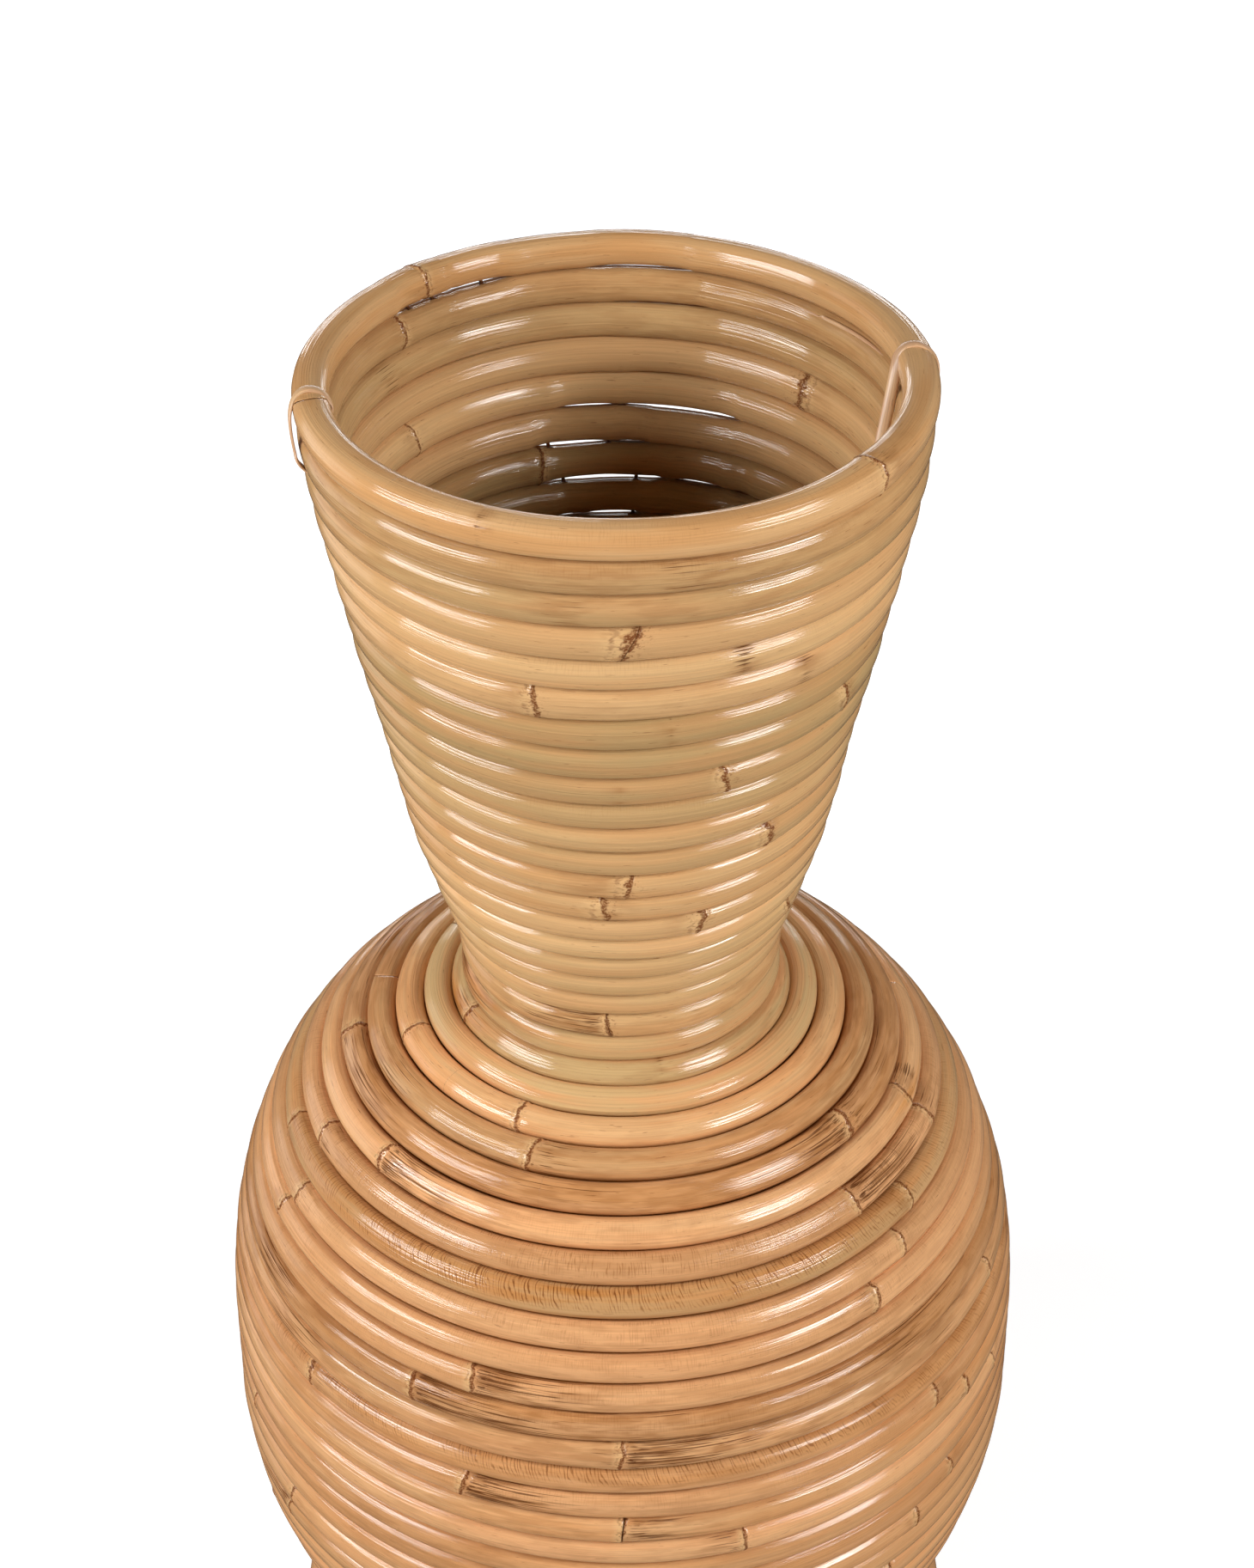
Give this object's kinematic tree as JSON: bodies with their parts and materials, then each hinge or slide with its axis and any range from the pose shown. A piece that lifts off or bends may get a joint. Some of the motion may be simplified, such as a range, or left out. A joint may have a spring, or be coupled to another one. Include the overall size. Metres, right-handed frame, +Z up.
{
  "type": "rattan vase",
  "caption": "Tall vase of stacked rattan hoops with a flared neck, narrow throat, round belly and short flared foot, for dried or silk stems.",
  "frame": {"origin": "on the vase's axis, at the floor under the lowest hoop", "axes": "+Z up along the vase's axis, -Y towards the side that the picture shows, +X to its right"},
  "size_m": [0.3144, 0.3096, 0.6004],
  "materials": {
    "neck_cane": "skin-on rattan cane under satin lacquer, greenish straw",
    "belly_cane": "skin-on rattan cane under satin lacquer, honey",
    "peel": "split rattan peel, satin",
    "plywood": "sanded plywood, unfinished"
  },
  "bodies": {
    "root": {"rim_hoop_01": "neck_cane", "neck_hoop_02": "neck_cane", "neck_hoop_03": "neck_cane", "neck_hoop_04": "neck_cane", "neck_hoop_05": "neck_cane", "neck_hoop_06": "neck_cane", "neck_hoop_07": "neck_cane", "neck_hoop_08": "neck_cane", "neck_hoop_09": "neck_cane", "neck_hoop_10": "neck_cane", "neck_hoop_11": "neck_cane", "neck_hoop_12": "neck_cane", "neck_hoop_13": "neck_cane", "neck_hoop_14": "neck_cane", "neck_hoop_15": "neck_cane", "neck_hoop_16": "neck_cane", "neck_hoop_17": "neck_cane", "neck_hoop_18": "neck_cane", "neck_hoop_19": "neck_cane", "neck_hoop_20": "neck_cane", "shoulder_hoop_21": "belly_cane", "shoulder_hoop_22": "belly_cane", "shoulder_hoop_23": "belly_cane", "shoulder_hoop_24": "belly_cane", "shoulder_hoop_25": "belly_cane", "shoulder_hoop_26": "belly_cane", "shoulder_hoop_27": "belly_cane", "shoulder_hoop_28": "belly_cane", "shoulder_hoop_29": "belly_cane", "shoulder_hoop_30": "belly_cane", "shoulder_hoop_31": "belly_cane", "shoulder_hoop_32": "belly_cane", "shoulder_hoop_33": "belly_cane", "shoulder_hoop_34": "belly_cane", "shoulder_hoop_35": "belly_cane", "shoulder_hoop_36": "belly_cane", "shoulder_hoop_37": "belly_cane", "shoulder_hoop_38": "belly_cane", "belly_hoop_39": "belly_cane", "belly_hoop_40": "belly_cane", "belly_hoop_41": "belly_cane", "belly_hoop_42": "belly_cane", "belly_hoop_43": "belly_cane", "belly_hoop_44": "belly_cane", "belly_hoop_45": "belly_cane", "belly_hoop_46": "belly_cane", "belly_hoop_47": "belly_cane", "belly_hoop_48": "belly_cane", "belly_hoop_49": "belly_cane", "belly_hoop_50": "belly_cane", "belly_hoop_51": "belly_cane", "belly_hoop_52": "belly_cane", "waist_hoop_53": "belly_cane", "foot_hoop_54": "belly_cane", "foot_hoop_55": "belly_cane", "foot_hoop_56": "belly_cane", "foot_hoop_57": "belly_cane", "tie_left": "peel", "tie_right": "peel", "base_board": "plywood"}
  },
  "joints": []
}
